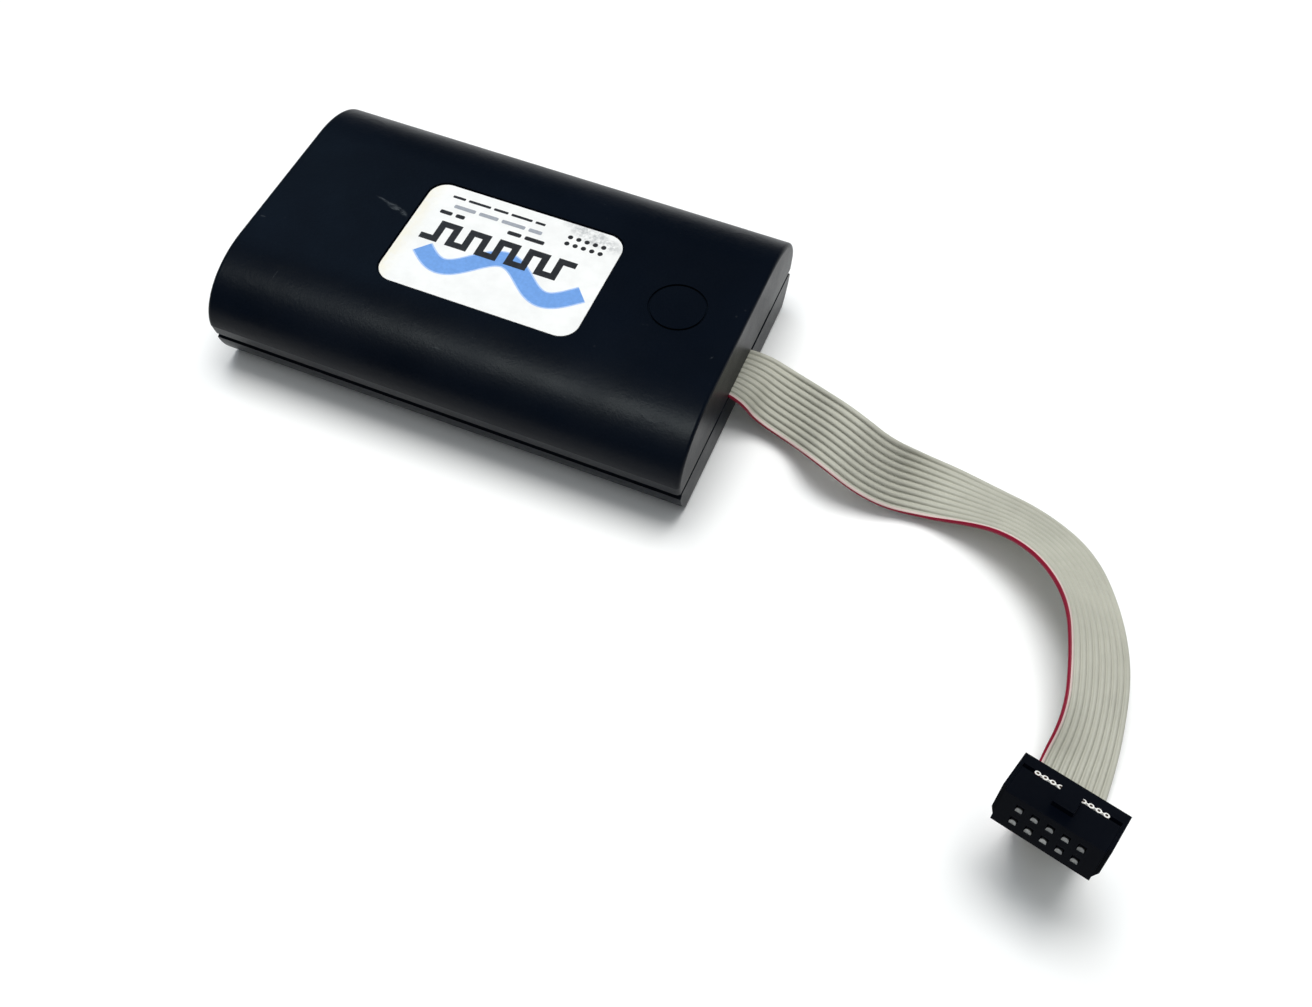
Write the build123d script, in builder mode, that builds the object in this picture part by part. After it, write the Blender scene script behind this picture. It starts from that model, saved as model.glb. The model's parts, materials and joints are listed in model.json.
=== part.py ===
from build123d import *
import math
import os

# USB microcontroller programmer: a two-part moulded case holding a circuit
# board, with a USB type B jack at the -X end and a ten-way flat cable with a
# 2x5 insulation-displacement plug at the +X end.
# Frame: +X is the length, +Z is up, origin under the case's centre on the
# plane that the rubber feet stand on. Millimetres.

# ---- driving dimensions -------------------------------------------------
CASE_L = 98.4          # overall length of the case
CASE_W = 61.9          # overall width
CASE_H = 23.1          # overall height over the feet
FOOT_PROUD = 0.4       # how far the feet stand below the case
WALL = 2.0             # shell thickness
END_WALL = 2.2         # top shell end walls
FLAT_HALF = 15.5       # half width of the flat top
SHOULDER_Z = 12.4      # where the rounded side becomes upright
SIDE_DRAFT = 0.55      # upright wall leans in by this much
RIM_TOP_Z = 9.65       # lower edge of the top shell
RIM_BOTTOM_Z = 9.2     # upper edge of the bottom shell
BASE_HALF = 26.3       # half width of the underside
BOTTOM_HALF = 30.1     # half width of the bottom shell at its rim
GROOVE_Z = 7.8         # lower edge of the shadow groove along both long sides
LABEL_W, LABEL_H, LABEL_R = 41.6, 27.2, 4.0
LABEL_C = (0.2, -1.2)
LABEL_RECESS = 0.45
DISC_C, DISC_R = (36.0, 0.3), 5.7
SCREW_X, SCREW_Y = 41.0, 21.5
FOOT_X, FOOT_Y, FOOT_R = 33.0, 19.0, 4.0
BOARD_L, BOARD_W, BOARD_T = 89.0, 51.0, 1.6
BOARD_Z = 5.2
RIBBON_W, RIBBON_T = 12.7, 0.9   # ten conductors at 1.27
RIBBON_Y, RIBBON_Z = 0.6, 9.44   # where the cable leaves the case
PLUG_L, PLUG_T, PLUG_H = 17.8, 6.2, 10.4
PLUG_CAP = 2.45                  # cover thickness
PITCH = 2.54
JACK_W, JACK_H, JACK_D = 12.0, 10.9, 16.0
JACK_X = -48.9                   # front face of the jack

BOARD_TOP = BOARD_Z + BOARD_T
TOP_Z = CASE_H
BASE_Z = FOOT_PROUD

os.makedirs("parts", exist_ok=True)


def finish(builder, name):
    builder.part.label = name
    export_step(builder.part, "parts/" + name + ".step")


corners = [(sx * SCREW_X, sy * SCREW_Y) for sx in (-1, 1) for sy in (-1, 1)]
foot_spots = [(sx * FOOT_X, sy * FOOT_Y) for sx in (-1, 1) for sy in (-1, 1)]

# ---- top shell ------------------------------------------------------------
arc_w = CASE_W / 2 - FLAT_HALF
arc_h = TOP_Z - SHOULDER_Z
with BuildPart() as top_form:
    with BuildSketch(Plane.YZ):
        with BuildLine():
            Line((0, TOP_Z), (FLAT_HALF, TOP_Z))
            EllipticalCenterArc((FLAT_HALF, SHOULDER_Z), arc_w, arc_h, start_angle=0, arc_size=90)
            Line((CASE_W / 2, SHOULDER_Z), (CASE_W / 2 - SIDE_DRAFT, RIM_TOP_Z))
            Line((CASE_W / 2 - SIDE_DRAFT, RIM_TOP_Z), (0, RIM_TOP_Z))
            mirror(about=Plane.YZ)
        make_face()
    extrude(amount=CASE_L / 2, both=True)
    end_edges = top_form.faces().filter_by(Axis.X).edges().filter_by(lambda e: e.center().Z > RIM_TOP_Z + 0.3)
    fillet(end_edges, radius=0.8)

# screw bosses hanging from the ceiling, trimmed to the rounded top
with BuildPart() as top_bosses:
    with Locations([(x, y, BOARD_TOP + 0.1) for x, y in corners]):
        Cylinder(3.2, TOP_Z - BOARD_TOP, align=(Align.CENTER, Align.CENTER, Align.MIN))
    add(top_form.part, mode=Mode.INTERSECT)
with BuildPart() as boss_tips:
    with Locations([(x, y, BOARD_TOP + 0.1) for x, y in corners]):
        Cylinder(3.2, 6.0, align=(Align.CENTER, Align.CENTER, Align.MIN))

with BuildPart() as top_shell:
    add(top_form.part)
    with BuildSketch(Plane.YZ.offset(-(CASE_L / 2 - END_WALL))):
        with BuildLine():
            Line((0, TOP_Z - WALL), (FLAT_HALF, TOP_Z - WALL))
            EllipticalCenterArc((FLAT_HALF, SHOULDER_Z), arc_w - 2.35, arc_h - WALL, start_angle=0, arc_size=90)
            Line((CASE_W / 2 - 2.35, SHOULDER_Z), (CASE_W / 2 - 2.35, RIM_TOP_Z - 1))
            Line((CASE_W / 2 - 2.35, RIM_TOP_Z - 1), (0, RIM_TOP_Z - 1))
            mirror(about=Plane.YZ)
        make_face()
    extrude(amount=CASE_L - 2 * END_WALL, mode=Mode.SUBTRACT)
    # two stiffening ribs across the ceiling
    with BuildPart(mode=Mode.PRIVATE) as ribs:
        with Locations([(x, 0, TOP_Z - WALL - 1.2) for x in (-12.0, 14.0)]):
            Box(1.2, 46.0, 2.4)
        add(top_form.part, mode=Mode.INTERSECT)
    add(ribs.part)
    add(top_bosses.part)
    add(boss_tips.part)
    with Locations([(x, y, BOARD_TOP - 0.5) for x, y in corners]):
        Cylinder(1.5, 8.9, align=(Align.CENTER, Align.CENTER, Align.MIN), mode=Mode.SUBTRACT)
    # label recess and the plain ring groove beside it
    with BuildSketch(Plane.XY.offset(TOP_Z)):
        with Locations(LABEL_C):
            RectangleRounded(LABEL_W + 0.5, LABEL_H + 0.5, LABEL_R)
    extrude(amount=-LABEL_RECESS, mode=Mode.SUBTRACT)
    with BuildSketch(Plane.XY.offset(TOP_Z)):
        with Locations(DISC_C):
            Circle(DISC_R)
            Circle(DISC_R - 0.45, mode=Mode.SUBTRACT)
    extrude(amount=-0.45, mode=Mode.SUBTRACT)
    # jack window, cable slot and the wider gap beside the cable
    with Locations((-CASE_L / 2, 0, RIM_TOP_Z - 1)):
        Box(8, JACK_W + 0.5, JACK_H + BOARD_TOP + 0.3 - RIM_TOP_Z + 1, align=(Align.CENTER, Align.CENTER, Align.MIN), mode=Mode.SUBTRACT)
    with Locations((CASE_L / 2, RIBBON_Y, RIM_TOP_Z - 1)):
        Box(6, RIBBON_W + 0.5, 1.4, align=(Align.CENTER, Align.CENTER, Align.MIN), mode=Mode.SUBTRACT)
    with Locations((CASE_L / 2, 12.2, RIM_TOP_Z - 1)):
        Box(6, 10.6, 1.35, align=(Align.CENTER, Align.CENTER, Align.MIN), mode=Mode.SUBTRACT)
finish(top_shell, "top_shell")

with BuildPart() as top_label:
    with BuildSketch(Plane.XY.offset(TOP_Z - LABEL_RECESS)):
        with Locations(LABEL_C):
            RectangleRounded(LABEL_W - 0.2, LABEL_H - 0.2, LABEL_R - 0.3)
    extrude(amount=0.2)
finish(top_label, "top_label")

# ---- bottom shell -----------------------------------------------------------
with BuildPart() as bottom_shell:
    with BuildSketch(Plane.YZ):
        with BuildLine():
            Line((0, BASE_Z), (BASE_HALF, BASE_Z))
            ThreePointArc((BASE_HALF, BASE_Z), (28.7, 3.9), (BOTTOM_HALF, RIM_BOTTOM_Z))
            Line((BOTTOM_HALF, RIM_BOTTOM_Z), (0, RIM_BOTTOM_Z))
            mirror(about=Plane.YZ)
        make_face()
    extrude(amount=CASE_L / 2, both=True)
    fillet(bottom_shell.faces().sort_by(Axis.Z)[0].edges(), radius=0.8)
    # shadow groove under the rim of the top shell, along both long sides
    for side in (1, -1):
        with BuildSketch(Plane.YZ):
            Polygon(
                (side * (BOTTOM_HALF + 1), RIM_BOTTOM_Z + 1), (side * (BOTTOM_HALF + 1), GROOVE_Z),
                (side * (BOTTOM_HALF - 0.3), GROOVE_Z), (side * (BOTTOM_HALF - 0.8), GROOVE_Z + 0.4),
                (side * (BOTTOM_HALF - 0.8), RIM_BOTTOM_Z + 1), align=None,
            )
        extrude(amount=CASE_L / 2 + 1, both=True, mode=Mode.SUBTRACT)
    # the same reveal, narrower, across both end faces
    for end in (1, -1):
        with Locations((end * CASE_L / 2, 0, 8.65)):
            Box(1.4, 2 * BOTTOM_HALF + 4, 2, align=(Align.CENTER, Align.CENTER, Align.MIN), mode=Mode.SUBTRACT)
    # inner hollow
    with BuildSketch(Plane.YZ.offset(-(CASE_L / 2 - 2.6))):
        with BuildLine():
            Polyline((0, BASE_Z + WALL), (24.9, BASE_Z + WALL), (26.9, 4.6), (28.0, 10.2), (0, 10.2))
            mirror(about=Plane.YZ)
        make_face()
    extrude(amount=CASE_L - 5.2, mode=Mode.SUBTRACT)
    # tongue that the top shell fits over
    with BuildSketch(Plane.XY.offset(8.0)):
        Rectangle(2 * 46.8, 2 * 28.35)
        Rectangle(2 * 45.6, 2 * 27.3, mode=Mode.SUBTRACT)
    extrude(amount=3.0)
    # screw posts
    with Locations([(x, y, BASE_Z + 0.5) for x, y in corners]):
        Cylinder(3.2, BOARD_Z - BASE_Z - 0.5, align=(Align.CENTER, Align.CENTER, Align.MIN))
    with Locations([(x, y, BASE_Z - 0.5) for x, y in corners]):
        Cylinder(1.55, 6.0, align=(Align.CENTER, Align.CENTER, Align.MIN), mode=Mode.SUBTRACT)
        Cylinder(3.0, 2.1, align=(Align.CENTER, Align.CENTER, Align.MIN), mode=Mode.SUBTRACT)
    # two board rests under the jack and under the header
    with Locations([(-30, 0, 2.0), (30, 0, 2.0)]):
        Box(1.4, 30, BOARD_Z - 2.0, align=(Align.CENTER, Align.CENTER, Align.MIN))
    # foot and label recesses
    with Locations([(x, y, BASE_Z - 0.2) for x, y in foot_spots]):
        Cylinder(FOOT_R + 0.1, 0.8, align=(Align.CENTER, Align.CENTER, Align.MIN), mode=Mode.SUBTRACT)
    with BuildSketch(Plane.XY.offset(BASE_Z)):
        RectangleRounded(46.0, 24.0, 2.0)
    extrude(amount=0.3, mode=Mode.SUBTRACT)
    # jack window and cable slot
    with Locations((-CASE_L / 2, 0, BOARD_TOP - 0.2)):
        Box(10, JACK_W + 0.5, 8, align=(Align.CENTER, Align.CENTER, Align.MIN), mode=Mode.SUBTRACT)
    with Locations((CASE_L / 2, RIBBON_Y, RIBBON_Z - 0.55)):
        Box(10, RIBBON_W + 0.5, 4, align=(Align.CENTER, Align.CENTER, Align.MIN), mode=Mode.SUBTRACT)
finish(bottom_shell, "bottom_shell")

with BuildPart() as bottom_label:
    with BuildSketch(Plane.XY.offset(BASE_Z + 0.3)):
        RectangleRounded(45.4, 23.4, 1.8)
    extrude(amount=-0.15)
finish(bottom_label, "bottom_label")

with BuildPart() as rubber_feet:
    with Locations([(x, y, 0) for x, y in foot_spots]):
        Cylinder(FOOT_R, 1.0, align=(Align.CENTER, Align.CENTER, Align.MIN))
    fillet(rubber_feet.faces().group_by(Axis.Z)[0].edges(), radius=0.25)
finish(rubber_feet, "rubber_feet")

with BuildPart() as case_screws:
    with Locations([(x, y, BASE_Z + 0.1) for x, y in corners]):
        Cylinder(2.7, 1.5, align=(Align.CENTER, Align.CENTER, Align.MIN))
    fillet(case_screws.faces().group_by(Axis.Z)[0].edges(), radius=0.4)
    with Locations([(x, y, BASE_Z + 1.6) for x, y in corners]):
        Cylinder(1.45, 12.4, align=(Align.CENTER, Align.CENTER, Align.MIN))
    chamfer(case_screws.faces().group_by(Axis.Z)[-1].edges(), length=0.8)
    with Locations([(x, y, BASE_Z) for x, y in corners]):
        Box(3.0, 0.6, 1.8, mode=Mode.SUBTRACT)
        Box(0.6, 3.0, 1.8, mode=Mode.SUBTRACT)
finish(case_screws, "case_screws")

# ---- main board ---------------------------------------------------------------
HEADER_X, HEADER_Y = 36.0, RIBBON_Y
with BuildPart() as main_board:
    with BuildSketch(Plane.XY.offset(BOARD_Z)):
        RectangleRounded(BOARD_L, BOARD_W, 1.5)
        with Locations(corners):
            Circle(1.6, mode=Mode.SUBTRACT)
        with Locations((HEADER_X, HEADER_Y)):
            with GridLocations(PITCH, PITCH, 2, 5):
                Circle(0.5, mode=Mode.SUBTRACT)
    extrude(amount=BOARD_T)
finish(main_board, "main_board")

# ---- USB type B jack ---------------------------------------------------------
jack_cz = BOARD_TOP + JACK_H / 2
jack_front = Plane(origin=(JACK_X, 0, jack_cz), x_dir=(0, -1, 0), z_dir=(-1, 0, 0))


def mouth(w, h, c):
    # square mouth with its two upper corners cut off
    return [(-w / 2, -h / 2), (w / 2, -h / 2), (w / 2, h / 2 - c), (w / 2 - c, h / 2), (-w / 2 + c, h / 2), (-w / 2, h / 2 - c)]


with BuildPart() as usb_jack_shell:
    with BuildSketch(jack_front):
        Rectangle(JACK_W, JACK_H)
    extrude(amount=-JACK_D)
    with BuildSketch(jack_front.offset(-0.4)):
        Rectangle(JACK_W - 0.8, JACK_H - 0.4 * 2)
    extrude(amount=-JACK_D, mode=Mode.SUBTRACT)
    with BuildSketch(jack_front):
        Polygon(*mouth(9.0, 8.2, 1.6), align=None)
    extrude(amount=-1.0, mode=Mode.SUBTRACT)
finish(usb_jack_shell, "usb_jack_shell")

with BuildPart() as usb_jack_insulator:
    with BuildSketch(jack_front.offset(-0.4)):
        Rectangle(JACK_W - 0.8, JACK_H - 0.8)
    extrude(amount=-(JACK_D - 1.0))
    with BuildSketch(jack_front):
        Polygon(*mouth(8.5, 7.8, 1.5), align=None)
    extrude(amount=-10.5, mode=Mode.SUBTRACT)
    with BuildSketch(jack_front.offset(-10.5)):
        Rectangle(5.6, 3.2)
    extrude(amount=9.3)
finish(usb_jack_insulator, "usb_jack_insulator")

with BuildPart() as usb_jack_contacts:
    for z, up in ((1.6, 1), (-1.6, -1)):
        with BuildSketch(jack_front.offset(-9.9)):
            with Locations((-1.25, z + up * 0.12), (1.25, z + up * 0.12)):
                Rectangle(1.0, 0.24)
        extrude(amount=8.2)
finish(usb_jack_contacts, "usb_jack_contacts")

# ---- pin header under the inner plug --------------------------------------------
with BuildPart() as pin_header_base:
    with BuildSketch(Plane.XY.offset(BOARD_TOP)):
        with Locations((HEADER_X, HEADER_Y)):
            Rectangle(2 * PITCH, 5 * PITCH)
            with GridLocations(PITCH, PITCH, 2, 5):
                Rectangle(0.64, 0.64, mode=Mode.SUBTRACT)
    extrude(amount=PITCH)
finish(pin_header_base, "pin_header_base")

with BuildPart() as pin_header_pins:
    with BuildSketch(Plane.XY.offset(4.2)):
        with Locations((HEADER_X, HEADER_Y)):
            with GridLocations(PITCH, PITCH, 2, 5):
                Rectangle(0.64, 0.64)
    extrude(amount=11.0)
finish(pin_header_pins, "pin_header_pins")

# ---- insulation-displacement plugs ------------------------------------------------
# Local frame of a plug: X along its length, Y from the mating face to the
# back of the cover, Z towards the keyed wide side. The cable enters from -Z
# and is cut off flush on +Z.


def make_plug(plane, body_name, cover_name, contacts_name):
    seat = PLUG_CAP + RIBBON_T
    with BuildPart(plane) as body:
        with Locations((0, -(seat + PLUG_H) / 2, 0)):
            Box(PLUG_L - 1.4, PLUG_H - seat, PLUG_T)
        # slanted shoulder under each leg of the cover
        with BuildSketch(Plane(origin=plane.from_local_coords(Vector(0, -3.8, 0)), x_dir=plane.x_dir, z_dir=-plane.y_dir)):
            for s in (1, -1):
                Polygon((s * 8.1, -PLUG_T / 2), (s * 8.2, -PLUG_T / 2), (s * 8.88, -1.75), (s * 8.1, -1.75), align=None)
        extrude(amount=5.6)
        # raised polarising key
        with Locations((0, -(PLUG_CAP + 6.6) / 2 - 0.6, PLUG_T / 2 + 0.4)):
            Box(3.5, 5.0, 0.8)
        # pin holes from the mating face
        with Locations(*[(PITCH * k, -PLUG_H + 3.1, s * PITCH / 2) for k in range(-2, 3) for s in (-1, 1)]):
            Box(1.3, 6.4, 1.3, mode=Mode.SUBTRACT)
    finish(body, body_name)
    with BuildPart(plane) as cover:
        with Locations((0, -PLUG_CAP / 2, 0)):
            Box(PLUG_L, PLUG_CAP, PLUG_T)
        # side legs that clip down both ends of the body
        with Locations((-PLUG_L / 2 + 0.33, -4.85, 0.7), (PLUG_L / 2 - 0.33, -4.85, 0.7)):
            Box(0.66, 9.1, PLUG_T - 1.4)
    finish(cover, cover_name)
    with BuildPart(plane) as contacts:
        with Locations(*[(PITCH * k, -7.0, s * PITCH / 2 - 0.51) for k in range(-2, 3) for s in (-1, 1)]):
            Box(1.0, 5.6, 0.28)
    finish(contacts, contacts_name)


PLUG_ORIGIN = (126.955, -63.346, 18.053)
PLUG_X = (0.96733, -0.24814, 0.05194)
PLUG_N = (0.05775, 0.41516, 0.90791)
outer_plug = Plane(origin=PLUG_ORIGIN, x_dir=PLUG_X, z_dir=PLUG_N)
make_plug(outer_plug, "plug_body", "plug_cover", "plug_contacts")

inner_top = BOARD_TOP + PITCH + PLUG_H
inner_plug = Plane(origin=(HEADER_X, HEADER_Y, inner_top), x_dir=(0, -1, 0), z_dir=(-1, 0, 0))
make_plug(inner_plug, "inner_plug_body", "inner_plug_cover", "inner_plug_contacts")

# clamped, cut end of the cable between body and cover of the outer plug
with BuildPart(outer_plug) as ribbon_end_in_plug:
    with Locations((0, -PLUG_CAP - RIBBON_T / 2, 0)):
        Box(RIBBON_W, RIBBON_T, PLUG_T)
finish(ribbon_end_in_plug, "ribbon_end_in_plug")

# ---- cable inside the case --------------------------------------------------------
tail_z = inner_top - PLUG_CAP - RIBBON_T / 2
with BuildPart() as ribbon_tail:
    with BuildLine(Plane.XZ.offset(-RIBBON_Y)) as tail_path:
        FilletPolyline((CASE_L / 2, RIBBON_Z), (43.6, RIBBON_Z), (42.4, tail_z), (HEADER_X - PLUG_T / 2, tail_z), radius=1.2)
    with BuildSketch(Plane(origin=(CASE_L / 2, RIBBON_Y, RIBBON_Z), x_dir=(0, 1, 0), z_dir=(-1, 0, 0))):
        Rectangle(RIBBON_W, RIBBON_T)
    sweep()
finish(ribbon_tail, "ribbon_tail")

# ---- free flat cable --------------------------------------------------------------
# route of its centre line, and the direction of its width, towards the grey edge
ROUTE = [
    (49.2, 0.6, 9.44), (52.2, 0.6, 9.1), (57.0, 0.2, 6.4), (63.8, -2.1, 6.8), (71.2, -8.3, 12.2),
    (80.9, -9.8, 8.1), (89.3, -6.1, 2.9), (100.0, -6.9, 4.0), (109.1, -10.0, 7.6), (117.6, -15.7, 10.2),
    (123.9, -24.0, 10.5), (127.6, -33.7, 9.2), (129.4, -43.6, 6.6), (129.0, -52.8, 2.4), (127.9, -63.6, 2.2),
    (125.8, -69.3, 10.2),
]
WIDTH = [
    (0.0, 1.0, 0.0), (0.05, 1.0, 0.1), (0.24, 0.86, 0.42), (0.14, 0.81, 0.58), (0.39, 0.76, 0.52),
    (0.24, 0.73, 0.64), (-0.22, 0.95, 0.22), (0.29, 0.94, -0.19), (0.49, 0.81, -0.32), (0.69, 0.64, -0.33),
    (0.77, 0.45, -0.44), (0.89, 0.3, -0.34), (0.85, 0.25, -0.4), (0.99, -0.05, -0.11), (0.97, -0.12, 0.17),
    (0.99, -0.15, 0.04),
]
end_point = outer_plug.from_local_coords(Vector(0, -PLUG_CAP - RIBBON_T / 2, -PLUG_T / 2))
route = [Vector(*p) for p in ROUTE] + [end_point]
width = [Vector(*w) for w in WIDTH] + [Vector(*PLUG_X)]


def mix(a, b, t):
    return a * (1 - t) + b * t


stations = [(route[0], Vector(1, 0, 0), width[0])]
for i in range(1, len(route) - 1):
    a, b, c = route[i - 1], route[i], route[i + 1]
    run_in, run_out = (b - a).length, (c - b).length
    d_in, d_out = (b - a).normalized(), (c - b).normalized()
    cut = 0.45 * min(run_in, run_out)
    turn = d_in.get_angle(d_out)
    if i == 1:
        cut = 0.45 * min(run_in, run_out)
    start, stop = b - d_in * cut, b + d_out * cut
    radius = cut / math.tan(math.radians(turn) / 2)
    centre_dir = (d_out - d_in).normalized()
    centre = b + centre_dir * (radius / math.cos(math.radians(turn) / 2))
    steps = 2 if turn < 30 else (4 if turn < 70 else 6)
    for k in range(steps + 1):
        t = k / steps
        r = mix(start - centre, stop - centre, t)
        # point on the arc at the same angle share
        ang = math.radians(turn) * t
        e1 = (start - centre).normalized()
        p = centre + e1 * (radius * math.cos(ang)) + d_in * (radius * math.sin(ang))
        tangent = e1 * (-math.sin(ang)) + d_in * math.cos(ang)
        share_in = cut / run_in
        share_out = cut / run_out
        if t <= 0.5:
            w = mix(width[i - 1], width[i], 1 - share_in * (1 - 2 * t))
        else:
            w = mix(width[i], width[i + 1], share_out * (2 * t - 1))
        stations.append((p, tangent, w))
stations.append((route[-1], Vector(*PLUG_N), width[-1]))

cable_length = sum((stations[i + 1][0] - stations[i][0]).length for i in range(len(stations) - 1))
with BuildPart() as ribbon_cable:
    for p, tangent, w in stations:
        flat = (w - tangent * w.dot(tangent)).normalized()
        with BuildSketch(Plane(origin=p, x_dir=flat, z_dir=tangent)):
            Rectangle(RIBBON_W, RIBBON_T)
    loft(ruled=True)
finish(ribbon_cable, "ribbon_cable")
print("cable length", round(cable_length, 1), "volume", round(ribbon_cable.part.volume, 1), "section x length", round(cable_length * RIBBON_W * RIBBON_T, 1))


# ---- chips --------------------------------------------------------------------------
def make_chip(centre, size_x, size_y, height, pitch, count, sides, body_name, leads_name):
    cx, cy = centre
    with BuildPart() as body:
        with Locations((cx, cy, BOARD_TOP + 0.1 + height / 2)):
            Box(size_x, size_y, height)
        chamfer(body.edges(), length=0.12)
        with Locations((cx - size_x / 2 + 1.2, cy + size_y / 2 - 1.2, BOARD_TOP + 0.1 + height)):
            Cylinder(0.4, 0.2, mode=Mode.SUBTRACT)
    finish(body, body_name)
    with BuildPart() as leads:
        for angle in sides:
            o = Vector(math.cos(math.radians(angle)), math.sin(math.radians(angle)), 0)
            t = Vector(-o.Y, o.X, 0)
            half = abs(o.X) * size_x / 2 + abs(o.Y) * size_y / 2
            for k in range(count):
                shift = (k - (count - 1) / 2) * pitch
                at = Vector(cx, cy, BOARD_TOP) + o * half + t * (shift + 0.15)
                with BuildSketch(Plane(origin=at, x_dir=o, z_dir=-t)):
                    Polygon((0, 0.55), (0.45, 0.55), (0.6, 0.15), (1.05, 0.15), (1.05, 0.0), (0.5, 0.0), (0.35, 0.4), (0, 0.4), align=None)
                extrude(amount=0.3)
    finish(leads, leads_name)


make_chip((6.0, -3.0), 10.0, 10.0, 1.3, 0.8, 11, (0, 90, 180, 270), "microcontroller", "microcontroller_leads")
make_chip((-16.0, 4.0), 7.0, 7.0, 1.2, 0.8, 8, (0, 90, 180, 270), "usb_interface_chip", "usb_interface_leads")
make_chip((23.0, -13.0), 3.9, 8.7, 1.4, 1.27, 7, (0, 180), "level_shifter", "level_shifter_leads")
make_chip((23.0, 13.5), 3.9, 8.7, 1.4, 1.27, 7, (0, 180), "line_buffer", "line_buffer_leads")

with BuildPart() as voltage_regulator:
    with Locations((-18.0, -14.0, BOARD_TOP + 0.1 + 0.8)):
        Box(6.5, 3.5, 1.6)
    chamfer(voltage_regulator.edges(), length=0.2)
finish(voltage_regulator, "voltage_regulator")
with BuildPart() as regulator_leads:
    with Locations(*[(-18.0 + dx, -14.0 - 1.75 - 0.7, BOARD_TOP + 0.25) for dx in (-2.3, 0, 2.3)]):
        Box(0.75, 1.4, 0.5)
    with Locations((-18.0, -14.0 + 1.75 + 0.7, BOARD_TOP + 0.25)):
        Box(3.0, 1.4, 0.5)
finish(regulator_leads, "regulator_leads")

with BuildPart() as crystals:
    with BuildSketch(Plane.XY.offset(BOARD_TOP + 0.5)):
        with Locations((-4.0, 14.0), (6.5, 14.0)):
            SlotOverall(9.0, 4.0, rotation=90)
    extrude(amount=3.2)
    fillet(crystals.faces().group_by(Axis.Z)[-1].edges(), radius=0.5)
    with BuildSketch(Plane.XY.offset(BOARD_TOP)):
        with Locations((-4.0, 14.0), (6.5, 14.0)):
            SlotOverall(10.2, 4.6, rotation=90)
    extrude(amount=0.5)
finish(crystals, "crystals")

cap_spots = [(-26.0, 16.0), (-6.0, -16.0)]
with BuildPart() as capacitor_bases:
    with Locations([(x, y, BOARD_TOP + 0.5) for x, y in cap_spots]):
        Box(6.6, 6.6, 1.0)
    chamfer(capacitor_bases.edges().filter_by(Axis.Z).group_by(Axis.X)[-1], length=1.2)
finish(capacitor_bases, "capacitor_bases")
with BuildPart() as electrolytic_capacitors:
    with Locations([(x, y, BOARD_TOP + 1.0) for x, y in cap_spots]):
        Cylinder(3.1, 5.4, align=(Align.CENTER, Align.CENTER, Align.MIN))
    fillet(electrolytic_capacitors.faces().group_by(Axis.Z)[-1].edges(), radius=0.4)
finish(electrolytic_capacitors, "electrolytic_capacitors")

with BuildPart() as polyfuse:
    with Locations((-27.0, -8.0, BOARD_TOP + 0.6)):
        Box(3.2, 4.5, 1.2)
finish(polyfuse, "polyfuse")

chip_cap_spots = [(-1.5, -11.0), (13.5, -11.0), (-1.8, 4.6), (14.2, 4.8), (-22.5, -1.5), (-10.0, 9.6), (17.5, -6.0), (17.5, 6.0), (28.5, -5.0), (-12.5, -14.0)]
chip_res_spots = [(29.5, 5.0), (29.5, 2.2), (29.5, -0.6), (-28.0, 3.0), (-28.0, 6.0), (1.2, 9.5), (0.5, 19.5), (11.5, 19.0), (20.0, -2.5), (20.0, 2.5)]
with BuildPart() as chip_capacitors:
    with Locations([(x, y, BOARD_TOP + 0.45) for x, y in chip_cap_spots]):
        Box(1.1, 1.25, 0.9)
finish(chip_capacitors, "chip_capacitors")
with BuildPart() as chip_resistors:
    with Locations([(x, y, BOARD_TOP + 0.25) for x, y in chip_res_spots]):
        Box(1.1, 1.25, 0.5)
finish(chip_resistors, "chip_resistors")
with BuildPart() as chip_end_caps:
    with Locations([(x + s * 0.75, y, BOARD_TOP + 0.45) for x, y in chip_cap_spots for s in (-1, 1)]):
        Box(0.4, 1.25, 0.9)
    with Locations([(x + s * 0.75, y, BOARD_TOP + 0.25) for x, y in chip_res_spots for s in (-1, 1)]):
        Box(0.4, 1.25, 0.5)
finish(chip_end_caps, "chip_end_caps")
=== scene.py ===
import bpy, bmesh, math, json
from mathutils import Vector, Matrix


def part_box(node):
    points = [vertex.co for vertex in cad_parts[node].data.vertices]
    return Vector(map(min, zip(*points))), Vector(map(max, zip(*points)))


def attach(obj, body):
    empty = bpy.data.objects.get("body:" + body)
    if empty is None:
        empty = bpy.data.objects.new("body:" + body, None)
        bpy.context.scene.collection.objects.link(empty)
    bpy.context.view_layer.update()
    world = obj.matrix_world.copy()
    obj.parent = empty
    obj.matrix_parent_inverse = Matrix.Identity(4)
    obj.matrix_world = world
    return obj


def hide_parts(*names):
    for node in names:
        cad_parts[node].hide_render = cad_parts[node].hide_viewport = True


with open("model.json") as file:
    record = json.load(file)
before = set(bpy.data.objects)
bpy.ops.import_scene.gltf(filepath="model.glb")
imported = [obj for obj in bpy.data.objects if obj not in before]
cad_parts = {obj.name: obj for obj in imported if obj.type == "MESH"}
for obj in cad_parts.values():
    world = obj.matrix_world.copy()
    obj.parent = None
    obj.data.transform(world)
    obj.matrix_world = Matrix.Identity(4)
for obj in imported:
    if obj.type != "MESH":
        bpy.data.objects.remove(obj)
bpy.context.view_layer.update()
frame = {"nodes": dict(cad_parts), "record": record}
nodes = frame["nodes"]
MM = 0.001

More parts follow.
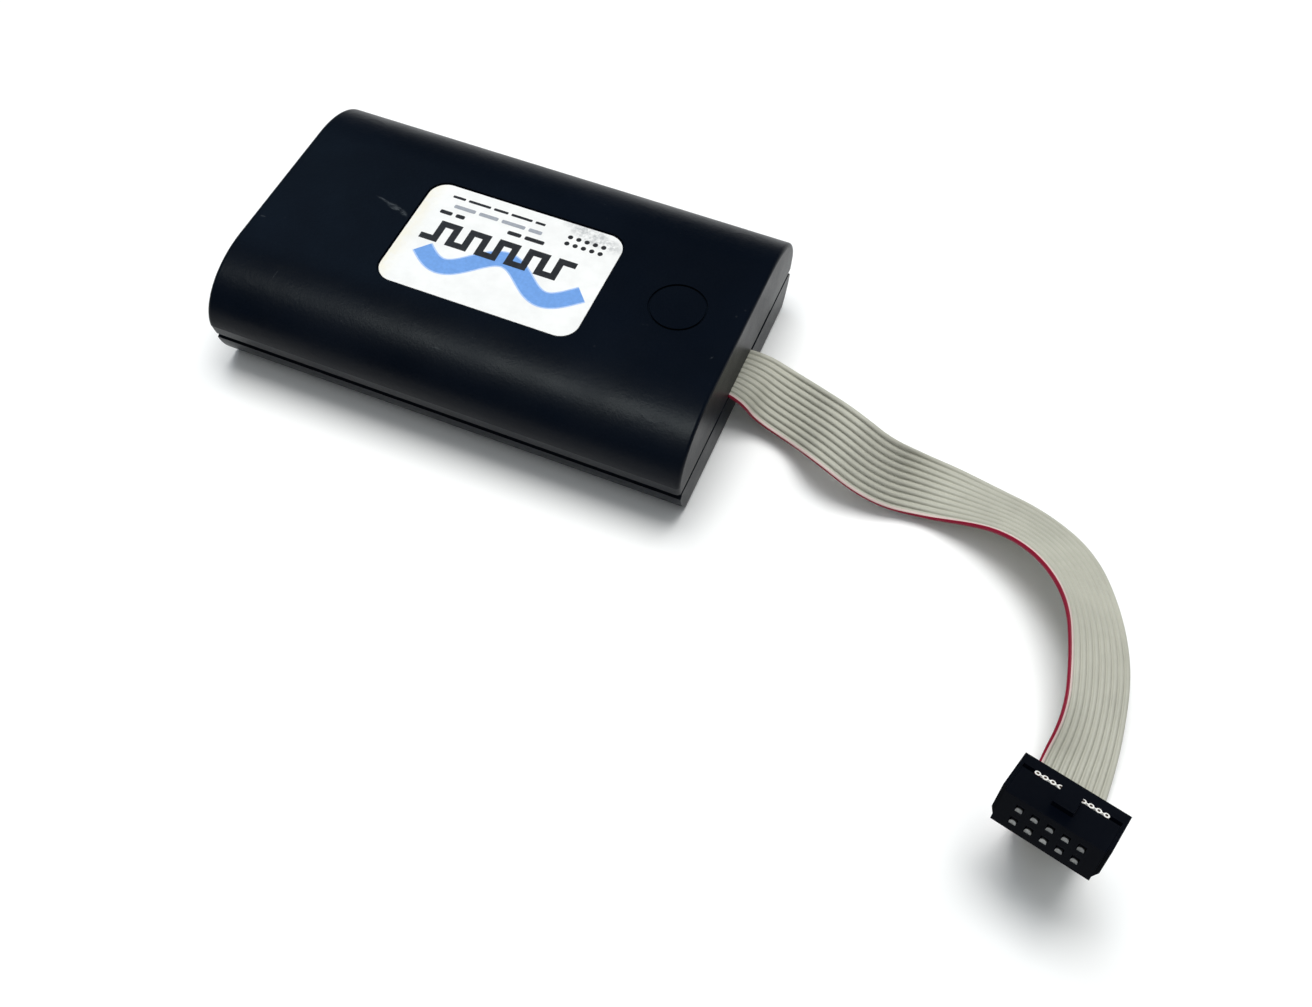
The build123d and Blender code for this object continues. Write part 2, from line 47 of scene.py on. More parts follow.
# ---------------------------------------------------------------- camera
cam_data = bpy.data.cameras.new("camera")
cam_data.sensor_width = 36.0
cam_data.lens = 37.99
cam_data.clip_start = 0.005
cam = bpy.data.objects.new("camera", cam_data)
bpy.context.scene.collection.objects.link(cam)
right = Vector((0.92345, 0.38355, 0.01153)).normalized()
up = Vector((-0.32815, 0.77377, 0.54183))
up = (up - right * up.dot(right)).normalized()
back = right.cross(up)
m = Matrix.Identity(4)
for i in range(3):
    m[i][0], m[i][1], m[i][2] = right[i], up[i], back[i]
m.translation = Vector((0.095675, -0.159889, 0.220367))
cam.matrix_world = m
bpy.context.scene.camera = cam

# ---------------------------------------------------------------- material helpers


class Net:
    """One procedural material."""

    def __init__(self, name, color=(0.5, 0.5, 0.5), rough=0.5, metal=0.0, spec=0.5):
        self.m = bpy.data.materials.new(name)
        self.m.use_nodes = True
        self.t = self.m.node_tree
        self.b = self.t.nodes["Principled BSDF"]
        self.b.inputs["Base Color"].default_value = (*color, 1)
        self.b.inputs["Roughness"].default_value = rough
        self.b.inputs["Metallic"].default_value = metal
        self.b.inputs["Specular IOR Level"].default_value = spec
        self.co = self.t.nodes.new("ShaderNodeTexCoord").outputs["Object"]

    def node(self, kind, **props):
        n = self.t.nodes.new(kind)
        for k, v in props.items():
            setattr(n, k, v)
        return n

    def link(self, a, b):
        self.t.links.new(a, b)

    def noise(self, scale, detail=4.0, rough=0.6, stretch=None, co=None, dist=0.0):
        n = self.node("ShaderNodeTexNoise")
        n.inputs["Scale"].default_value = scale
        n.inputs["Detail"].default_value = detail
        n.inputs["Roughness"].default_value = rough
        n.inputs["Distortion"].default_value = dist
        src = co or self.co
        if stretch:
            mp = self.node("ShaderNodeMapping")
            mp.inputs["Scale"].default_value = stretch
            self.link(src, mp.inputs["Vector"])
            src = mp.outputs["Vector"]
        self.link(src, n.inputs["Vector"])
        return n.outputs["Fac"]

    def voronoi(self, scale, feature="F1"):
        n = self.node("ShaderNodeTexVoronoi", feature=feature)
        n.inputs["Scale"].default_value = scale
        self.link(self.co, n.inputs["Vector"])
        return n.outputs["Distance"]

    def ramp(self, value, lo, hi, a=0.0, b=1.0, smooth=True):
        n = self.node("ShaderNodeMapRange", interpolation_type="SMOOTHSTEP" if smooth else "LINEAR")
        self.link(value, n.inputs["Value"])
        n.inputs["From Min"].default_value = lo
        n.inputs["From Max"].default_value = hi
        n.inputs["To Min"].default_value = a
        n.inputs["To Max"].default_value = b
        return n.outputs["Result"]

    def math(self, op, a, b=None):
        n = self.node("ShaderNodeMath", operation=op)
        for i, v in enumerate((a, b)):
            if v is None:
                continue
            if isinstance(v, (int, float)):
                n.inputs[i].default_value = v
            else:
                self.link(v, n.inputs[i])
        return n.outputs[0]

    def mix(self, fac, a, b):
        n = self.node("ShaderNodeMix", data_type="RGBA")
        if isinstance(fac, (int, float)):
            n.inputs[0].default_value = fac
        else:
            self.link(fac, n.inputs[0])
        for i, v in ((6, a), (7, b)):
            if isinstance(v, tuple):
                n.inputs[i].default_value = (*v, 1)
            else:
                self.link(v, n.inputs[i])
        return n.outputs[2]

    def color(self, socket):
        self.link(socket, self.b.inputs["Base Color"])

    def rough(self, socket):
        self.link(socket, self.b.inputs["Roughness"])

    def bump(self, height, strength, distance):
        n = self.node("ShaderNodeBump")
        n.inputs["Strength"].default_value = strength
        n.inputs["Distance"].default_value = distance
        self.link(height, n.inputs["Height"])
        if self.b.inputs["Normal"].is_linked:
            self.link(self.b.inputs["Normal"].links[0].from_socket, n.inputs["Normal"])
        self.link(n.outputs["Normal"], self.b.inputs["Normal"])

    def spot(self, centre, angle, half, soft=0.35):
        """Soft elliptical mask in the object's own metres: centre, turn about Z, half sizes."""
        sub = self.node("ShaderNodeVectorMath", operation="SUBTRACT")
        self.link(self.co, sub.inputs[0])
        sub.inputs[1].default_value = centre
        rot = self.node("ShaderNodeVectorRotate", rotation_type="Z_AXIS")
        self.link(sub.outputs[0], rot.inputs["Vector"])
        rot.inputs["Angle"].default_value = -angle
        mul = self.node("ShaderNodeVectorMath", operation="MULTIPLY")
        self.link(rot.outputs[0], mul.inputs[0])
        mul.inputs[1].default_value = (1 / half[0], 1 / half[1], 1 / half[2])
        ln = self.node("ShaderNodeVectorMath", operation="LENGTH")
        self.link(mul.outputs[0], ln.inputs[0])
        return self.ramp(ln.outputs["Value"], 1 - soft, 1.0, 1.0, 0.0)


def moulded(name, base, rough, grain=2600, grain_d=0.00003, spec=0.5, streak=0.25):
    n = Net(name, base, rough, spec=spec)
    tint = n.ramp(n.noise(34, 3), 0.3, 0.7)
    n.color(n.mix(tint, tuple(c * 0.86 for c in base), tuple(min(1, c * 1.16) for c in base)))
    rv = n.math("ADD", n.ramp(n.noise(60, 5), 0.25, 0.75, rough - 0.05, rough + 0.06), n.ramp(n.noise(300, 2, stretch=(1, 14, 1)), 0.55, 0.8, 0.0, streak * 0.2))
    n.rough(rv)
    n.bump(n.noise(grain, 2, 0.5), 0.5, grain_d)
    return n


# case plastic: bluish black satin, very fine spark texture, light scuffs and dust
case = moulded("case_plastic", (0.0016, 0.0033, 0.0072), 0.35, grain=3200, grain_d=0.000014, spec=0.10)
base_socket = case.b.inputs["Base Color"].links[0].from_socket
speck = case.math("MULTIPLY", case.ramp(case.voronoi(420), 0.05, 0.11, 1.0, 0.0), case.ramp(case.noise(70, 2), 0.56, 0.72))
fiber = case.ramp(case.noise(700, 6, 0.75, stretch=(1.0, 5.0, 1.0)), 0.40, 0.66)
scuff = None
for px, py, pz, turn, lx, ly, k in (
    (-0.0275, 0.0032, 0.0231, -14, 0.0024, 0.00034, 0.75), (-0.0246, 0.0023, 0.0231, -17, 0.0026, 0.00085, 1.0),
    (-0.0224, 0.0016, 0.0231, -30, 0.0015, 0.00070, 0.9), (-0.0471, -0.0099, 0.0231, 8, 0.0007, 0.00018, 0.6),
    (-0.0376, -0.0215, 0.0219, 80, 0.0012, 0.00014, 0.4), (0.0462, -0.0085, 0.0231, 60, 0.0006, 0.00018, 0.35),
    (0.0320, -0.0060, 0.0231, 12, 0.0009, 0.00012, 0.25), (-0.0019, -0.0247, 0.0205, 5, 0.0010, 0.00030, 0.35),
):
    s1 = case.math("MULTIPLY", case.math("MULTIPLY", case.spot((px, py, pz), math.radians(turn), (lx, ly, 0.003), 0.6), fiber), k)
    scuff = s1 if scuff is None else case.math("MAXIMUM", scuff, s1)
worn = case.mix(scuff, base_socket, (0.075, 0.085, 0.095))
worn = case.mix(case.math("MULTIPLY", speck, 0.16), worn, (0.12, 0.13, 0.14))
case.color(worn)
case.bump(case.noise(46, 2), 0.3, 0.00004)
case.bump(case.noise(1500, 3, 0.7), 0.7, 0.00005)

nylon = moulded("black_nylon", (0.0010, 0.0018, 0.0042), 0.42, grain=5200, grain_d=0.00001, spec=0.05)
foot = moulded("foot_rubber", (0.02, 0.02, 0.021), 0.78, grain=2400, grain_d=0.00004)
epoxy = moulded("chip_epoxy", (0.018, 0.018, 0.02), 0.55, grain=5200, grain_d=0.00001)


def metal(name, base, rough, stretch=(1, 1, 1), scale=1800):
    n = Net(name, base, rough, metal=1.0)
    n.color(n.mix(n.ramp(n.noise(160, 4), 0.3, 0.7), tuple(c * 0.86 for c in base), tuple(min(1, c * 1.08) for c in base)))
    n.rough(n.ramp(n.noise(420, 4), 0.3, 0.7, rough - 0.06, rough + 0.1))
    n.bump(n.noise(scale, 3, stretch=stretch), 0.25, 0.000012)
    return n


steel = metal("jack_steel", (0.62, 0.62, 0.60), 0.30, stretch=(1, 1, 18))
screw = metal("screw_steel", (0.45, 0.45, 0.46), 0.34)
gold = metal("gold_contact", (0.90, 0.66, 0.27), 0.24)
tin = metal("tin_contact", (0.70, 0.70, 0.68), 0.34)
can = metal("can_steel", (0.66, 0.66, 0.65), 0.26, stretch=(1, 12, 1))
can_al = metal("can_aluminium", (0.76, 0.76, 0.77), 0.33)
core_metal = metal("copper_core", (0.22, 0.14, 0.10), 0.42)

# solder-masked board with tracks, pads and vias drawn by the shader
board = Net("board_green", (0.01, 0.10, 0.045), 0.33, spec=0.55)
track = board.node("ShaderNodeTexBrick")
board.link(board.co, track.inputs["Vector"])
track.inputs["Scale"].default_value = 300.0
track.inputs["Mortar Size"].default_value = 0.10
track.inputs["Brick Width"].default_value = 3.1
track.inputs["Row Height"].default_value = 0.42
lines = board.math("MULTIPLY", track.outputs["Fac"], board.ramp(board.noise(120, 1), 0.46, 0.54))
vias = board.ramp(board.voronoi(230), 0.10, 0.14, 1.0, 0.0)
vias = board.math("MULTIPLY", vias, board.ramp(board.noise(90, 1), 0.5, 0.56))
green = board.mix(board.ramp(board.noise(50, 3), 0.3, 0.7), (0.006, 0.075, 0.034), (0.010, 0.115, 0.052))
green = board.mix(lines, green, (0.02, 0.20, 0.09))
green = board.mix(vias, green, (0.55, 0.50, 0.36))
board.color(green)
board.bump(board.math("ADD", lines, vias), 0.5, 0.00004)

ceramic = moulded("ceramic_tan", (0.40, 0.27, 0.15), 0.6, grain=4000, grain_d=0.00001)
fuse = moulded("fuse_polymer", (0.05, 0.22, 0.07), 0.45, grain=4000, grain_d=0.00001)

# label film: white, a little yellow along one side, a grey rubbed corner
film = Net("label_film", (0.83, 0.83, 0.81), 0.36, spec=0.5)
mottle = film.ramp(film.noise(240, 5), 0.3, 0.7)
white = film.mix(mottle, (0.80, 0.80, 0.79), (0.86, 0.86, 0.85))
sx = film.node("ShaderNodeSeparateXYZ")
film.link(film.co, sx.inputs[0])
yellow = film.math("MULTIPLY", film.ramp(sx.outputs[0], -0.0205, -0.0165, 1.0, 0.0), film.ramp(film.noise(500, 4), 0.35, 0.6, 0.4, 1.0))
white = film.mix(film.math("MULTIPLY", yellow, 0.55), white, (0.80, 0.74, 0.56))
rub = film.math("MULTIPLY", film.spot((0.0145, 0.0105, 0.0228), math.radians(-14), (0.0085, 0.0026, 0.004), soft=0.6), film.ramp(film.noise(900, 6, 0.7), 0.36, 0.62))
white = film.mix(film.math("MULTIPLY", rub, 0.75), white, (0.36, 0.37, 0.38))
film.color(white)
film.rough(film.ramp(film.noise(130, 4), 0.3, 0.7, 0.30, 0.44))
film.bump(film.noise(420, 2), 0.25, 0.00002)

plain_film = Net("blank_label_film", (0.55, 0.55, 0.55), 0.45)
plain_film.color(plain_film.mix(plain_film.ramp(plain_film.noise(200, 5), 0.3, 0.7), (0.50, 0.50, 0.50), (0.60, 0.60, 0.59)))
plain_film.bump(plain_film.noise(900, 2), 0.3, 0.00002)


def ink(name, base, rough=0.42):
    n = Net(name, base, rough)
    n.color(n.mix(n.ramp(n.noise(1500, 4), 0.3, 0.75), base, tuple(min(1, c * 1.12 + 0.01) for c in base)))
    n.bump(n.noise(2600, 2), 0.2, 0.00001)
    return n


ink_blue = ink("ink_blue", (0.135, 0.30, 0.66))
ink_light = ink("ink_light_blue", (0.36, 0.50, 0.78))
ink_black = ink("ink_black", (0.012, 0.012, 0.014))
ink_grey = ink("ink_grey", (0.30, 0.32, 0.36))


def vinyl(name, base, rough=0.44):
    n = Net(name, base, rough, spec=0.24)
    n.b.inputs["Subsurface Weight"].default_value = 0.04
    n.b.inputs["Subsurface Radius"].default_value = (0.0008, 0.0007, 0.0006)
    n.color(n.mix(n.ramp(n.noise(90, 4), 0.3, 0.7), tuple(c * 0.93 for c in base), tuple(min(1, c * 1.05) for c in base)))
    n.rough(n.ramp(n.noise(220, 3), 0.3, 0.7, rough - 0.05, rough + 0.07))
    n.bump(n.noise(2400, 2), 0.3, 0.000012)
    return n


grey_vinyl = vinyl("cable_vinyl", (0.455, 0.45, 0.385))
red_vinyl = vinyl("cable_vinyl_red", (0.24, 0.003, 0.025))
# pale pink copy of the red conductor's vinyl: a painted highlight for the top of the red conductor
red_top_painted_highlight = vinyl("cable_vinyl_first_painted_highlight", (0.62, 0.50, 0.47))
white_vinyl = vinyl("cable_cut_vinyl", (0.80, 0.79, 0.76), 0.5)

FINISH = {
    "case_plastic": case, "label_film": film, "foot_rubber": foot, "screw_steel": screw, "board_green": board,
    "jack_steel": steel, "black_nylon": nylon, "gold_contact": gold, "tin_contact": tin, "cable_vinyl": grey_vinyl,
    "chip_epoxy": epoxy, "can_steel": can, "can_aluminium": can_al, "fuse_polymer": fuse, "ceramic_tan": ceramic,
}
for sp in frame["record"]["subparts"]:
    o = nodes[sp["node"]]
    mat = FINISH[sp["material_slot"]].m
    if sp["node"] == "bottom_label":
        mat = plain_film.m
    o.data.materials.clear()
    o.data.materials.append(mat)
    for p in o.data.polygons:
        p.use_smooth = True
        p.material_index = 0
    o.data.set_sharp_from_angle(angle=math.radians(28))

# ---------------------------------------------------------------- mesh helpers

def joined(name, parts, mat):
    """One object from several closed (verts, faces) lumps."""
    verts, faces, smooth = [], [], []
    for vs, fs, sm in parts:
        base = len(verts)
        verts += [tuple(v) for v in vs]
        faces += [tuple(base + i for i in f) for f in fs]
        smooth += [sm] * len(fs)
    me = bpy.data.meshes.new(name)
    me.from_pydata(verts, [], faces)
    bm = bmesh.new()
    bm.from_mesh(me)
    bmesh.ops.recalc_face_normals(bm, faces=bm.faces)
    bm.to_mesh(me)
    bm.free()
    for p, sm in zip(me.polygons, smooth):
        p.use_smooth = sm
    me.materials.append(mat)
    me.set_sharp_from_angle(angle=math.radians(40))
    ob = bpy.data.objects.new(name, me)
    bpy.context.scene.collection.objects.link(ob)
    return ob


def prism(outline, low, high, at):
    """Closed prism: outline is (a, b) pairs in mm, at(a, b, h) places a point."""
    n = len(outline)
    vs = [at(a, b, low) for a, b in outline] + [at(a, b, high) for a, b in outline]
    fs = [tuple(reversed(range(n))), tuple(range(n, 2 * n))]
    fs += [(i, (i + 1) % n, n + (i + 1) % n, n + i) for i in range(n)]
    return vs, fs, True


def ring(r, n=20, cx=0.0, cy=0.0):
    return [(cx + r * math.cos(2 * math.pi * i / n), cy + r * math.sin(2 * math.pi * i / n)) for i in range(n)]


# ---------------------------------------------------------------- printing on the label
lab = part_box("top_label")
LABEL_Z = lab[1][2] / MM


def on_label(a, b, h):
    return Vector((a, b, LABEL_Z + h)) * MM


def rounded(x0, y0, x1, y1, r, n=5):
    out = []
    for cx, cy, a0 in ((x1 - r, y1 - r, 0), (x0 + r, y1 - r, 90), (x0 + r, y0 + r, 180), (x1 - r, y0 + r, 270)):
        out += [(cx + r * math.cos(math.radians(a0 + 90 * i / n)), cy + r * math.sin(math.radians(a0 + 90 * i / n))) for i in range(n + 1)]
    return out


def band(points, half):
    """Outline of a line of even thickness along points."""
    left, right_ = [], []
    for i, (x, y) in enumerate(points):
        x0, y0 = points[max(i - 1, 0)]
        x1, y1 = points[min(i + 1, len(points) - 1)]
        d = math.hypot(x1 - x0, y1 - y0)
        nx, ny = -(y1 - y0) / d, (x1 - x0) / d
        left.append((x + nx * half, y + ny * half))
        right_.append((x - nx * half, y - ny * half))
    return left, right_


def band_solid(points, half, low, high):
    left, right_ = band(points, half)
    n = len(left)
    vs = [on_label(a, b, low) for a, b in left + right_] + [on_label(a, b, high) for a, b in left + right_]
    fs = []
    for i in range(n - 1):
        fs.append((i, i + 1, n + i + 1, n + i))
        fs.append((2 * n + i, 3 * n + i, 3 * n + i + 1, 2 * n + i + 1))
        fs.append((i, 2 * n + i, 2 * n + i + 1, i + 1))
        fs.append((n + i, n + i + 1, 3 * n + i + 1, 3 * n + i))
    fs += [(0, n, 3 * n, 2 * n), (n - 1, 3 * n - 1, 4 * n - 1, 2 * n - 1)]
    return vs, fs, False


def printed(name, parts, ink_):
    ob = joined(name, parts, ink_.m)
    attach(ob, "cover")
    return ob


wave = [(-15.0 + 0.4 * i, -4.6 - 3.1 * math.sin(math.radians((0.4 * i) * 360 / 21.5))) for i in range(84)]
printed("label_wave", [band_solid(wave, 1.75, -0.01, 0.014)], ink_blue)
printed("label_wave_edge", [band_solid(wave, 2.05, -0.01, 0.008)], ink_light)
widths = (3.14,) * 10
path = [(-17.0, -1.9)]
for i, w_ in enumerate(widths):
    y = -1.9 if i % 2 == 0 else 2.3
    path.append((path[-1][0] + w_, y))
    if i < len(widths) - 1:
        path.append((path[-1][0], 2.3 if i % 2 == 0 else -1.9))


def mitred(points, half):
    out_l, out_r = [], []
    for i, (px_, py_) in enumerate(points):
        d0 = Vector((px_ - points[i - 1][0], py_ - points[i - 1][1])).normalized() if i else None
        d1 = Vector((points[i + 1][0] - px_, points[i + 1][1] - py_)).normalized() if i < len(points) - 1 else None
        n0 = Vector((-d0.y, d0.x)) if d0 else Vector((-d1.y, d1.x))
        n1 = Vector((-d1.y, d1.x)) if d1 else n0
        m_ = n0 if (n0 - n1).length < 1e-6 else n0 + n1
        out_l.append((px_ + m_.x * half, py_ + m_.y * half))
        out_r.append((px_ - m_.x * half, py_ - m_.y * half))
    return out_l, out_r


def mitred_solid(points, half, low, high):
    left, right_ = mitred(points, half)
    n = len(left)
    vs = [on_label(a, b, low) for a, b in left + right_] + [on_label(a, b, high) for a, b in left + right_]
    fs = []
    for i in range(n - 1):
        fs.append((i, i + 1, n + i + 1, n + i))
        fs.append((2 * n + i, 3 * n + i, 3 * n + i + 1, 2 * n + i + 1))
        fs.append((i, 2 * n + i, 2 * n + i + 1, i + 1))
        fs.append((n + i, n + i + 1, 3 * n + i + 1, 3 * n + i))
    fs += [(0, n, 3 * n, 2 * n), (n - 1, 3 * n - 1, 4 * n - 1, 2 * n - 1)]
    return vs, fs, False


printed("label_square_wave", [mitred_solid(path, 0.72, -0.01, 0.022)], ink_black)


def dashes(y, h, spans):
    return [prism(rounded(a, y - h / 2, b, y + h / 2, h * 0.3, 3), -0.01, 0.016, on_label) for a, b in spans]


printed("label_dashes_dark", dashes(9.7, 0.62, ((-15.6, -12.9), (-12.2, -7.4), (-6.7, -3.6), (-2.9, 1.6), (2.3, 4.4)))
        + dashes(5.2, 0.95, ((-16.2, -13.6), (-12.8, -10.9), (-1.6, 1.3), (2.1, 6.2))), ink_black)
printed("label_dashes_grey", dashes(7.4, 0.9, ((-14.2, -9.6), (-8.8, -4.7), (-3.9, 1.1), (1.9, 4.7))), ink_grey)
grid = [prism(ring(0.52, 20, 10.2 + 1.75 * i, 7.0 + 1.75 * j), -0.01, 0.018, on_label) for i in range(5) for j in range(2)]
printed("label_dot_grid", grid, ink_black)

# ---------------------------------------------------------------- cable
PLUG_O = Vector((126.955, -63.346, 18.053))
PX = Vector((0.96733, -0.24814, 0.05194)).normalized()
PN = Vector((0.05775, 0.41516, 0.90791)).normalized()
PY = PN.cross(PX)


def plug(x, y, z):
    """A point in the plug's own frame, in metres."""
    return (PLUG_O + PX * x + PY * y + PN * z) * MM


ROUTE = [
    (49.2, 0.6, 9.44), (52.2, 0.6, 9.1), (57.0, 0.2, 6.4), (63.8, -2.1, 6.8), (71.2, -8.3, 12.2),
    (80.9, -9.8, 8.1), (89.3, -6.1, 2.9), (100.0, -6.9, 4.0), (109.1, -10.0, 7.6), (117.6, -15.7, 10.2),
    (123.9, -24.0, 10.5), (127.6, -33.7, 9.2), (129.4, -43.6, 6.6), (129.0, -52.8, 2.4), (127.9, -63.6, 2.2),
    (125.8, -69.3, 10.2),
]
WIDTH = [
    (0.0, 1.0, 0.0), (0.05, 1.0, 0.1), (0.24, 0.86, 0.42), (0.14, 0.81, 0.58), (0.39, 0.76, 0.52),
    (0.24, 0.73, 0.64), (-0.22, 0.95, 0.22), (0.29, 0.94, -0.19), (0.49, 0.81, -0.32), (0.69, 0.64, -0.33),
    (0.77, 0.45, -0.44), (0.89, 0.3, -0.34), (0.85, 0.25, -0.4), (0.99, -0.05, -0.11), (0.97, -0.12, 0.17),
    (0.99, -0.15, 0.04),
]
route = [Vector(p) * MM for p in ROUTE] + [plug(0, -2.9, -3.1)]
width = [Vector(w).normalized() for w in WIDTH] + [PX]


def nurbs(name, points):
    cu = bpy.data.curves.new(name, "CURVE")
    cu.dimensions = "3D"
    cu.resolution_u = 16
    sp = cu.splines.new("NURBS")
    sp.points.add(len(points) - 1)
    for q, p in zip(sp.points, points):
        q.co = (*p, 1)
    sp.order_u = 3
    sp.use_endpoint_u = True
    ob = bpy.data.objects.new(name, cu)
    bpy.context.scene.collection.objects.link(ob)
    bpy.context.view_layer.update()
    me = bpy.data.meshes.new_from_object(ob)
    out = [v.co.copy() for v in me.vertices]
    bpy.data.objects.remove(ob)
    return out


line = nurbs("cable_line", route)
edge = nurbs("cable_edge", [p + w * 0.006 for p, w in zip(route, width)])
clean = [0]
for i in range(1, len(line)):
    if (line[i] - line[clean[-1]]).length > 1e-6:
        clean.append(i)
line, edge = [line[i] for i in clean], [edge[i] for i in clean]

PITCH, CORE, WEB, COUNT = 1.27, 0.505, 0.10, 10


def rib_profile():
    """Outline of the ten joined conductors: (across, up, conductor) in mm, anticlockwise."""
    top = []
    for k in range(COUNT):
        c = (k - (COUNT - 1) / 2) * PITCH
        a0 = math.asin(WEB / CORE)
        steps = 10
        first = math.pi - a0 if k else math.pi
        last = a0 if k < COUNT - 1 else 0.0
        for j in range(steps + 1):
            a = first + (last - first) * j / steps
            top.append((c + CORE * math.cos(a), CORE * math.sin(a), k))
    bottom = [(x, -y, k) for x, y, k in reversed(top) if abs(y) > 1e-6]
    return top + bottom


PROFILE = rib_profile()


def strip(name, centres, frames, mats, cap=True):
    """Ribbed strip through centres; frames are (across, up) unit vectors."""
    bm = bmesh.new()
    rings = []
    for c, (ax, u) in zip(centres, frames):
        rings.append([bm.verts.new(c + ax * (x * MM) + u * (y * MM)) for x, y, _ in PROFILE])
    n = len(PROFILE)
    for a, b in zip(rings, rings[1:]):
        for i in range(n):
            j = (i + 1) % n
            f = bm.faces.new((a[i], a[j], b[j], b[i]))
            f.smooth = True
            f.material_index = 0
            if PROFILE[i][2] == 0 and PROFILE[j][2] == 0:
                # the first conductor is dyed red on its outer side and its underside; the pale pink band on its top is
                # a painted highlight on the red dye
                dx = 0.5 * (PROFILE[i][0] + PROFILE[j][0]) + (COUNT - 1) / 2 * PITCH
                dy = 0.5 * (PROFILE[i][1] + PROFILE[j][1])
                around = math.degrees(math.atan2(dy, -dx))
                f.material_index = 1 if around < 70 else 2 if around < 125 else 0
    if cap:
        for ring, flip in ((rings[0], True), (rings[-1], False)):
            f = bm.faces.new(ring[::-1] if flip else ring)
            f.material_index = 0
    bmesh.ops.recalc_face_normals(bm, faces=bm.faces)
    me = bpy.data.meshes.new(name)
    bm.to_mesh(me)
    bm.free()
    for mm in mats:
        me.materials.append(mm)
    me.set_sharp_from_angle(angle=math.radians(75))
    ob = bpy.data.objects.new(name, me)
    bpy.context.scene.collection.objects.link(ob)
    return ob


frames = []
for i, c in enumerate(line):
    t = (line[min(i + 1, len(line) - 1)] - line[max(i - 1, 0)]).normalized()
    if i == 0:
        t = Vector((1, 0, 0))
    if i == len(line) - 1:
        t = PN.copy()
    w = edge[i] - c
    w = (w - t * w.dot(t)).normalized()
    frames.append((w, t.cross(w).normalized()))
# conductor 0 is the red one, on the side away from the width direction
ribbon = strip("ribbon_cable_strip", line, frames, [grey_vinyl.m, red_vinyl.m, red_top_painted_highlight.m])
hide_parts("ribbon_cable")
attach(ribbon, "base")

end_strip = strip(
    "ribbon_clamped_strip", [plug(0, -2.9, -3.1), plug(0, -2.9, 0), plug(0, -2.9, 3.14)], [(PX, PN.cross(PX))] * 3,
    [white_vinyl.m, red_vinyl.m, white_vinyl.m],
)
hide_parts("ribbon_end_in_plug")
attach(end_strip, "base")



# stranded cores at the cut end: seven fine wires in each conductor
wires = []
for k in range(COUNT):
    x = (k - (COUNT - 1) / 2) * PITCH
    for j in range(7):
        r = 0.0 if j == 0 else 0.17
        a = math.radians(60 * j + 13 * k)
        wires.append(prism(ring(0.088, 8, x + r * math.cos(a), r * math.sin(a)), 2.9, 3.19, lambda a_, b_, h_: plug(a_, -2.9 + b_, h_)))
cores = joined("cable_cores", wires, core_metal.m)
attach(cores, "base")

# contact in each pin hole: a leaf on the lower wall with a rounded tip near the mouth
leaves = []
tip = [(-0.56, 0.0)] + [(-0.56 * math.cos(a), 0.22 + 0.46 * math.sin(a)) for a in [math.pi * i / 14 for i in range(15)]] + [(0.56, 0.0)]
leaf = [(-0.16, 0.0), (-5.9, 0.0), (-5.9, 0.26), (-3.4, 0.62), (-2.7, 0.70), (-2.0, 0.60), (-0.9, 0.26), (-0.16, 0.26)]
for k in range(-2, 3):
    for s_ in (-1, 1):
        z0 = s_ * 1.27 - 0.645
        x0 = 2.54 * k
        leaves.append(prism([(x0 + a, z0 + b) for a, b in tip], -10.28, -10.02, lambda a_, b_, h_: plug(a_, h_ + (0.12 if b_ > z0 + 0.3 else 0.0), b_)))
        leaves.append(prism([(-10.1 - a, z0 + b) for a, b in leaf], x0 - 0.5, x0 + 0.5, lambda a_, b_, h_: plug(h_, a_, b_)))
contacts = joined("socket_contact_leaves", leaves, tin.m)
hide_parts("plug_contacts")
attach(contacts, "base")

# ribbed lead from the slot to the plug on the board
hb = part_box("inner_plug_cover")
tail_z = hb[1][2] - 0.0029
tail_pts = [Vector(p) for p in (
    (0.0492, 0.0006, 0.00944), (0.0462, 0.0006, 0.00944), (0.0434, 0.0006, 0.0098), (0.0431, 0.0006, 0.0135),
    (0.0424, 0.0006, tail_z - 0.0006), (0.0410, 0.0006, tail_z), (hb[1][0], 0.0006, tail_z), (hb[0][0], 0.0006, tail_z),
)]
tail_line = nurbs("tail_line", tail_pts)
tail_line = [p for i, p in enumerate(tail_line) if i == 0 or (p - tail_line[i - 1]).length > 1e-6]
tail_frames = []
for i, c in enumerate(tail_line):
    t = (tail_line[min(i + 1, len(tail_line) - 1)] - tail_line[max(i - 1, 0)]).normalized()
    w = Vector((0, 1, 0))
    tail_frames.append((w, t.cross(w).normalized() * -1))
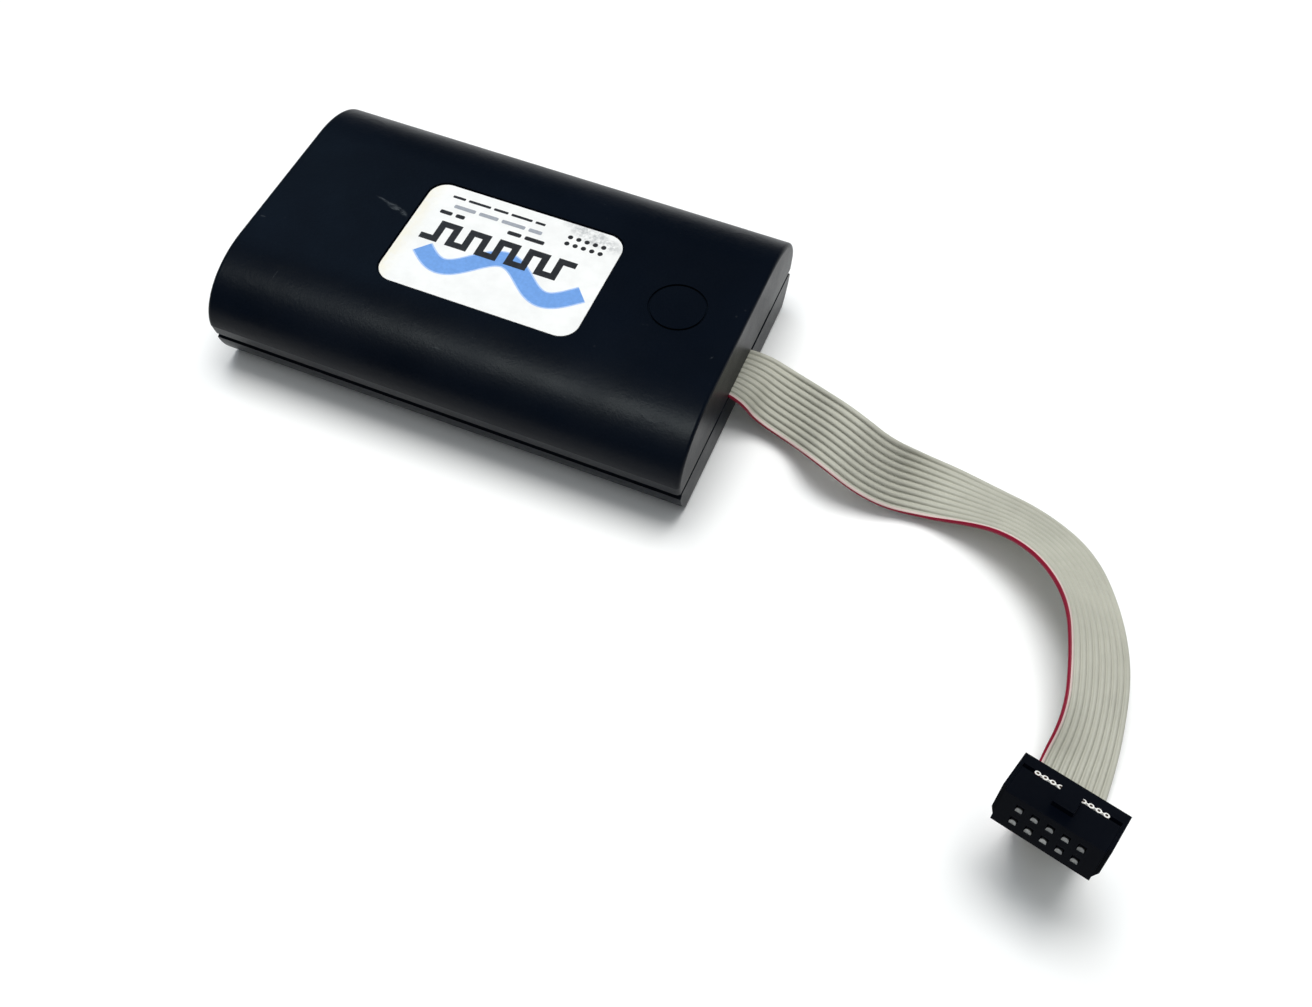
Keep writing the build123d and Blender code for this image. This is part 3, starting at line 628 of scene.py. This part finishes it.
tail = strip("ribbon_tail_strip", tail_line, tail_frames, [grey_vinyl.m, red_vinyl.m, red_top_painted_highlight.m])
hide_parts("ribbon_tail")
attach(tail, "base")

# ---------------------------------------------------------------- floor, light
floor_me = bpy.data.meshes.new("floor")
floor_me.from_pydata([(-3, -3, 0), (3, -3, 0), (3, 3, 0), (-3, 3, 0)], [], [(0, 1, 2, 3)])
floor = bpy.data.objects.new("floor", floor_me)
bpy.context.scene.collection.objects.link(floor)
fl = Net("floor_white", (0.955, 0.955, 0.955), 0.6, spec=0.2)
fl.color(fl.mix(fl.ramp(fl.noise(3, 2), 0.3, 0.7), (0.95, 0.95, 0.95), (0.96, 0.96, 0.96)))
floor_me.materials.append(fl.m)

world = bpy.data.worlds.new("world")
bpy.context.scene.world = world
world.use_nodes = True
bg = world.node_tree.nodes["Background"]
bg.inputs["Color"].default_value = (0.80, 0.90, 1.0, 1)
bg.inputs["Strength"].default_value = 0.07


def area(name, loc, target, size, power, color=(1, 1, 1), glossy=True):
    li = bpy.data.lights.new(name, "AREA")
    li.shape = "RECTANGLE"
    li.size, li.size_y = size
    li.energy = power
    li.color = color
    ob = bpy.data.objects.new(name, li)
    ob.location = loc
    ob.rotation_euler = (Vector(target) - Vector(loc)).to_track_quat("-Z", "Y").to_euler()
    ob.visible_glossy = glossy
    bpy.context.scene.collection.objects.link(ob)
    return ob


area("main_softbox", (0.0, 0.22, 1.15), (0.03, -0.01, 0), (0.75, 0.62), 11.5, (1.0, 1.0, 0.985), glossy=False)
area("ceiling", (0.05, 0.0, 1.15), (0.02, 0.0, 0), (2.2, 2.2), 10.5, (0.97, 1.0, 1.0), glossy=False)
strip_light = area("overhead_strip", (0.05, -0.22, 1.05), (0.03, -0.02, 0), (1.1, 0.16), 11.0, (0.93, 1.0, 0.97))
strip_light.visible_diffuse = False
area("far_window", (-0.62, 0.62, 0.82), (0.0, 0.0, 0.02), (0.34, 0.34), 0.50, (0.45, 0.70, 1.0))
bpy.context.scene.view_settings.view_transform = "Standard"
bpy.context.scene.view_settings.look = "None"
